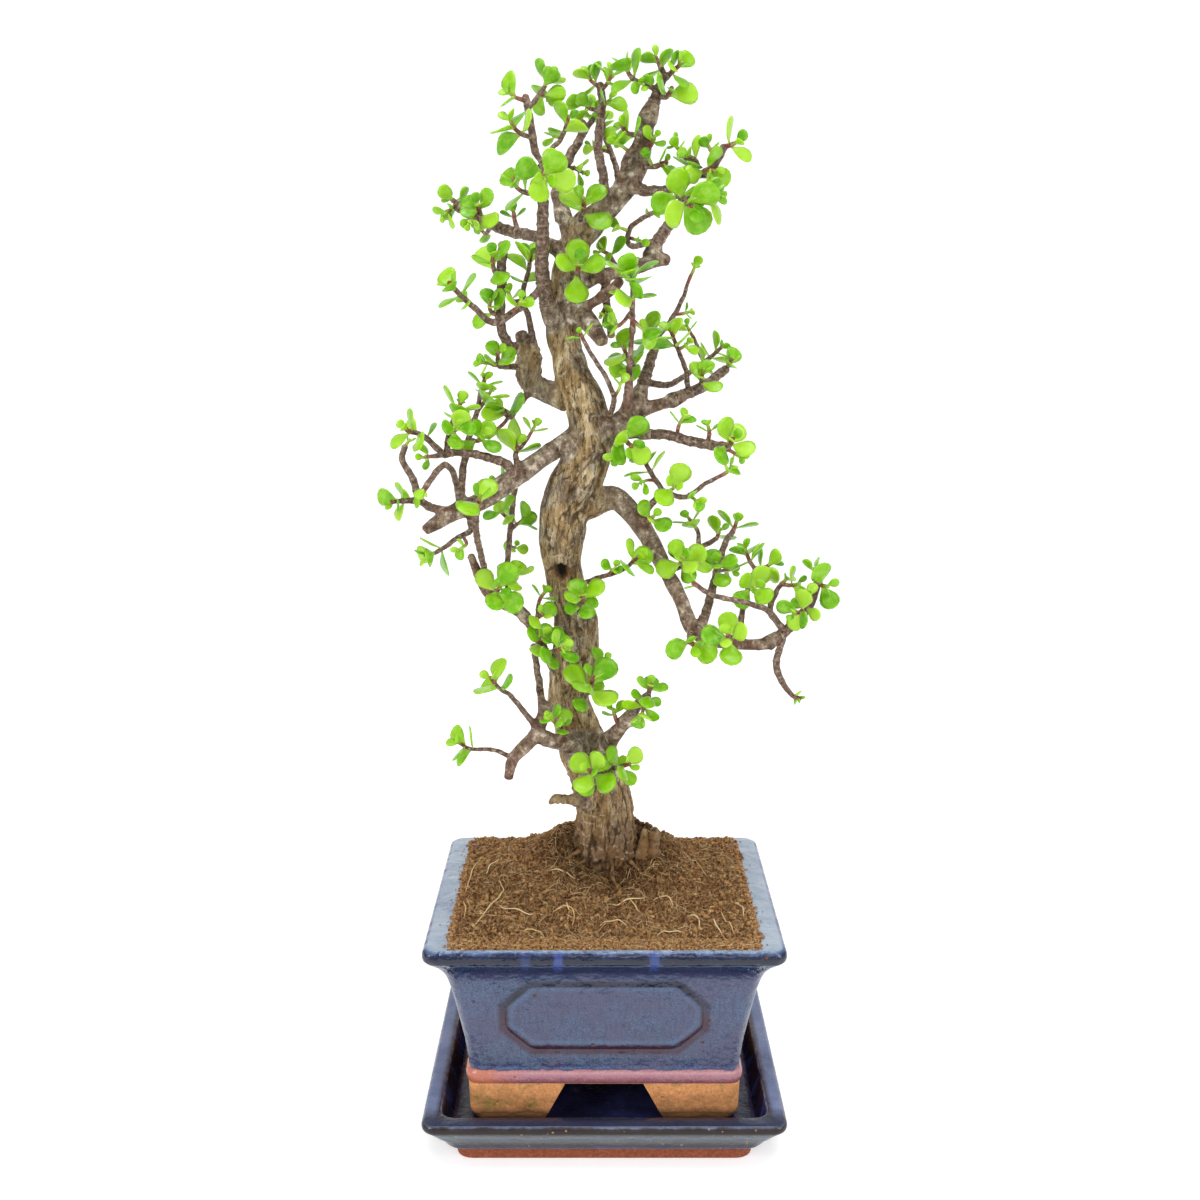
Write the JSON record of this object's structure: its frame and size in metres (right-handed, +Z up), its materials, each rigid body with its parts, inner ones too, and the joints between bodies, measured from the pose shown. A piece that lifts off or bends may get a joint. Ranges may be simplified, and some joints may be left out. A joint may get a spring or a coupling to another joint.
{
  "type": "dwarf jade bonsai",
  "caption": "Dwarf jade bonsai with a bent, mottled trunk and open sprays of small fleshy leaves, growing in a flared blue glazed pot that stands in a matching saucer.",
  "frame": {"origin": "middle of the saucer's underside, on the surface that it stands on", "axes": "+Z up along the tree, +X to the right along the pot's long side, -Y towards the front of the pot"},
  "size_m": [0.2053, 0.136, 0.4984],
  "materials": {
    "saucer_glaze": "cobalt blue gloss glaze, breaking brown at the edges, over a bare terracotta foot",
    "pot_glaze": "slate blue gloss glaze, darker under the lip, with a mauve band and bare orange-tan feet",
    "screen_mesh": "dark plastic mesh",
    "potting_soil": "dark brown bark and coir soil with pale fibres",
    "bark": "matt grey-brown bark, smooth on the limbs and cracked and knotted on the trunk",
    "leaf": "glossy fresh green leaves on reddish young stems"
  },
  "bodies": {
    "root": {"drain_screen": "screen_mesh", "pot": "pot_glaze", "saucer": "saucer_glaze", "soil": "potting_soil", "spray_arch_end": "leaf", "spray_arch_front": "leaf", "spray_arch_head": "leaf", "spray_arch_head_left": "leaf", "spray_arch_inner": "leaf", "spray_arch_lift": "leaf", "spray_arch_middle": "leaf", "spray_arch_rise": "leaf", "spray_big_left_drop": "leaf", "spray_big_left_inner": "leaf", "spray_big_left_low": "leaf", "spray_big_left_pole": "leaf", "spray_big_left_tail": "leaf", "spray_big_left_upper": "leaf", "spray_centre_front": "leaf", "spray_centre_tall": "leaf", "spray_centre_twin": "leaf", "spray_fork_front": "leaf", "spray_front_low_head": "leaf", "spray_high_right": "leaf", "spray_high_right_inner": "leaf", "spray_leader_crown": "leaf", "spray_leader_front": "leaf", "spray_left_arm": "leaf", "spray_left_fork": "leaf", "spray_low_left_head": "leaf", "spray_low_left_knot": "leaf", "spray_low_left_rise": "leaf", "spray_low_left_top": "leaf", "spray_mid_high": "leaf", "spray_mid_low": "leaf", "spray_mid_stub_head": "leaf", "spray_mid_under": "leaf", "spray_mid_up": "leaf", "spray_mottled_drop": "leaf", "spray_red_pole": "leaf", "spray_red_riser": "leaf", "spray_right_low_end": "leaf", "spray_right_low_mid": "leaf", "spray_riser": "leaf", "spray_rod_inner": "leaf", "spray_rod_left": "leaf", "spray_spur_low_left": "leaf", "spray_spur_low_tip": "leaf", "spray_stump_left": "leaf", "spray_stump_low": "leaf", "spray_trunk_front_high": "leaf", "spray_trunk_front_low": "leaf", "spray_trunk_front_mid": "leaf", "spray_trunk_front_top": "leaf", "spray_trunk_right_low": "leaf", "spray_trunk_right_mid": "leaf", "spray_upper_arm_low": "leaf", "spray_upper_lift": "leaf", "wood": "bark"}
  },
  "joints": []
}
